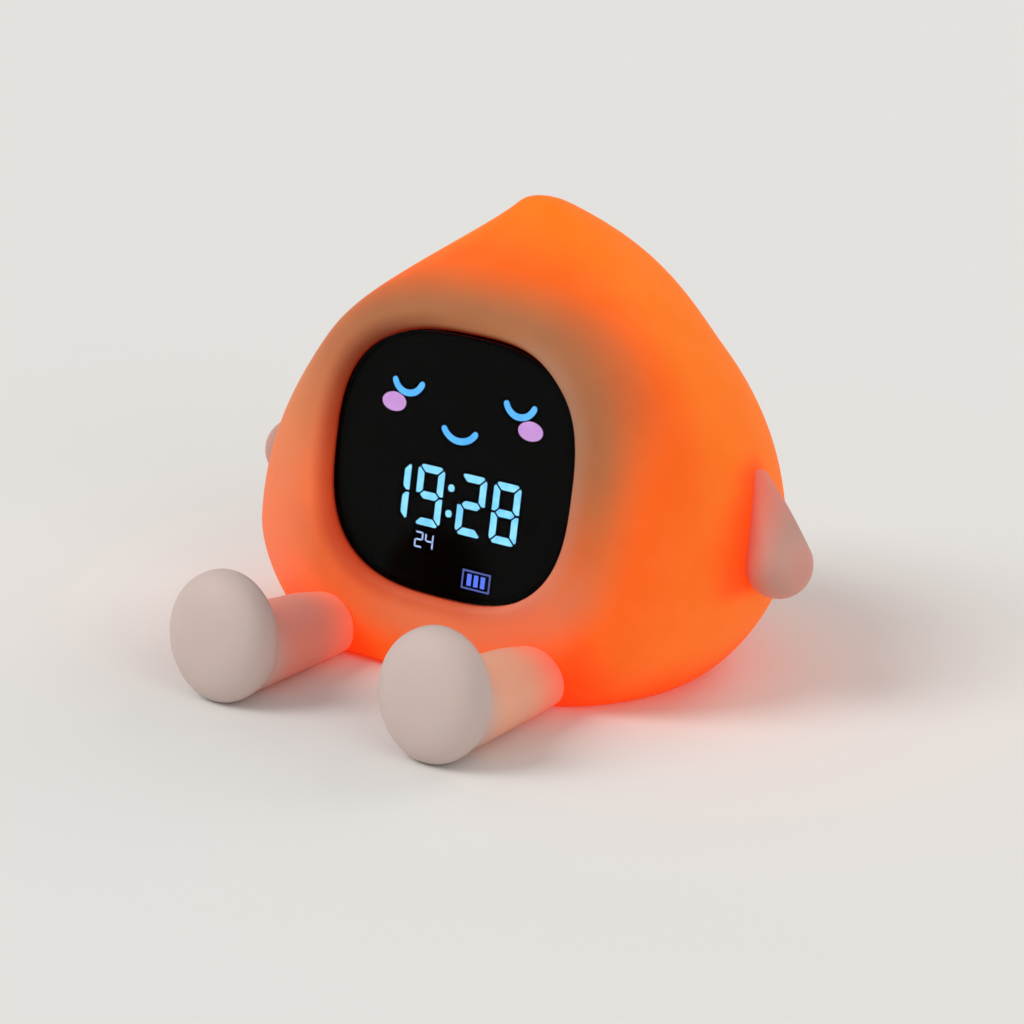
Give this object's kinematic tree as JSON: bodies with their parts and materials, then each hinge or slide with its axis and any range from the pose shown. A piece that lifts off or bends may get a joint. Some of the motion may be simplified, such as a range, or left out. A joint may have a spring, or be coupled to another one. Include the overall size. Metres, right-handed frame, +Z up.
{
  "type": "kids alarm clock with night light",
  "caption": "Soft drop-shaped bedside alarm clock and night light that sits on its base, with arms, outstretched legs, a segment display in its face and keys at the back.",
  "frame": {"origin": "middle of the clock's footprint box, on the table surface it stands on", "axes": "+Z up, front with the display and the feet towards -Y, +X to the right seen from the front"},
  "size_m": [0.1434, 0.1403, 0.103],
  "materials": {
    "silicone_body": "satin translucent silicone, lit from inside",
    "silicone_limb": "satin silicone, unlit",
    "black_lens": "glossy tinted",
    "black_plastic": "matt",
    "cyan_segments": "lit diffuser",
    "dark_diffuser": "unlit diffuser",
    "blue_segments": "lit diffuser",
    "pink_segments": "lit diffuser",
    "violet_segments": "lit diffuser",
    "led": "moulded resin",
    "green_board": "solder mask",
    "white_board": "solder mask",
    "white_plastic": "fine texture",
    "screw_steel": "zinc plated",
    "foot_rubber": "matt",
    "cell_sleeve": "shrink sleeve",
    "tape": "thin film",
    "basket_metal": "painted",
    "cone_paper": "pressed paper",
    "magnet": "nickel plated",
    "chip_black": "moulded",
    "connector_metal": "stamped",
    "nickel": "nickel strip",
    "clear_pipe": "polished",
    "key_white": "polished",
    "film": "flexible film",
    "lead": "insulated"
  },
  "bodies": {
    "clock": {"silicone_skin": "silicone_body", "left_arm": "silicone_limb", "right_arm": "silicone_limb", "left_leg": "silicone_limb", "right_leg": "silicone_limb", "display_lens": "black_lens", "display_mask": "black_plastic", "lit_segments": "cyan_segments", "dark_segments": "dark_diffuser", "face_segments": "blue_segments", "cheek_segments": "pink_segments", "status_segments": "violet_segments", "display_leds": "led", "display_board": "green_board", "display_frame": "white_plastic", "display_screws": "screw_steel", "frame_screws": "screw_steel", "base_tray": "white_plastic", "base_cover": "white_plastic", "base_pads": "foot_rubber", "base_screws": "screw_steel", "battery_cell": "cell_sleeve", "battery_tape": "tape", "speaker_basket": "basket_metal", "speaker_cone": "cone_paper", "speaker_magnet": "magnet", "main_board": "green_board", "main_chips": "chip_black", "board_screws": "screw_steel", "light_tower": "white_plastic", "light_board": "white_board", "night_leds": "led", "tower_screws": "screw_steel", "rear_panel": "white_plastic", "panel_screws": "screw_steel", "key_board": "green_board", "tact_switches": "chip_black", "usb_socket": "connector_metal", "slide_switch": "connector_metal", "charge_light": "clear_pipe", "display_ribbon": "film", "key_ribbon": "film", "battery_tabs": "nickel", "speaker_leads": "lead"},
    "key_mode": {"key_mode": "key_white"},
    "key_alarm": {"key_alarm": "key_white"},
    "key_light": {"key_light": "key_white"},
    "key_up": {"key_up": "key_white"},
    "key_down": {"key_down": "key_white"},
    "power_slider": {"power_slider": "chip_black"}
  },
  "joints": [
    {"name": "key_mode_press", "type": "slide", "parent": "clock", "child": "key_mode", "axis": [0, -1, 0], "range_m": [0, 0.0007], "stiffness_N_per_m": 300, "springref_m": -0.0002},
    {"name": "key_alarm_press", "type": "slide", "parent": "clock", "child": "key_alarm", "axis": [0, -1, 0], "range_m": [0, 0.0007], "stiffness_N_per_m": 300, "springref_m": -0.0002},
    {"name": "key_light_press", "type": "slide", "parent": "clock", "child": "key_light", "axis": [0, -1, 0], "range_m": [0, 0.0007], "stiffness_N_per_m": 300, "springref_m": -0.0002},
    {"name": "key_up_press", "type": "slide", "parent": "clock", "child": "key_up", "axis": [0, -1, 0], "range_m": [0, 0.0007], "stiffness_N_per_m": 300, "springref_m": -0.0002},
    {"name": "key_down_press", "type": "slide", "parent": "clock", "child": "key_down", "axis": [0, -1, 0], "range_m": [0, 0.0007], "stiffness_N_per_m": 300, "springref_m": -0.0002},
    {"name": "power_slide", "type": "slide", "parent": "clock", "child": "power_slider", "axis": [1, 0, 0], "range_m": [0, 0.0025]}
  ]
}
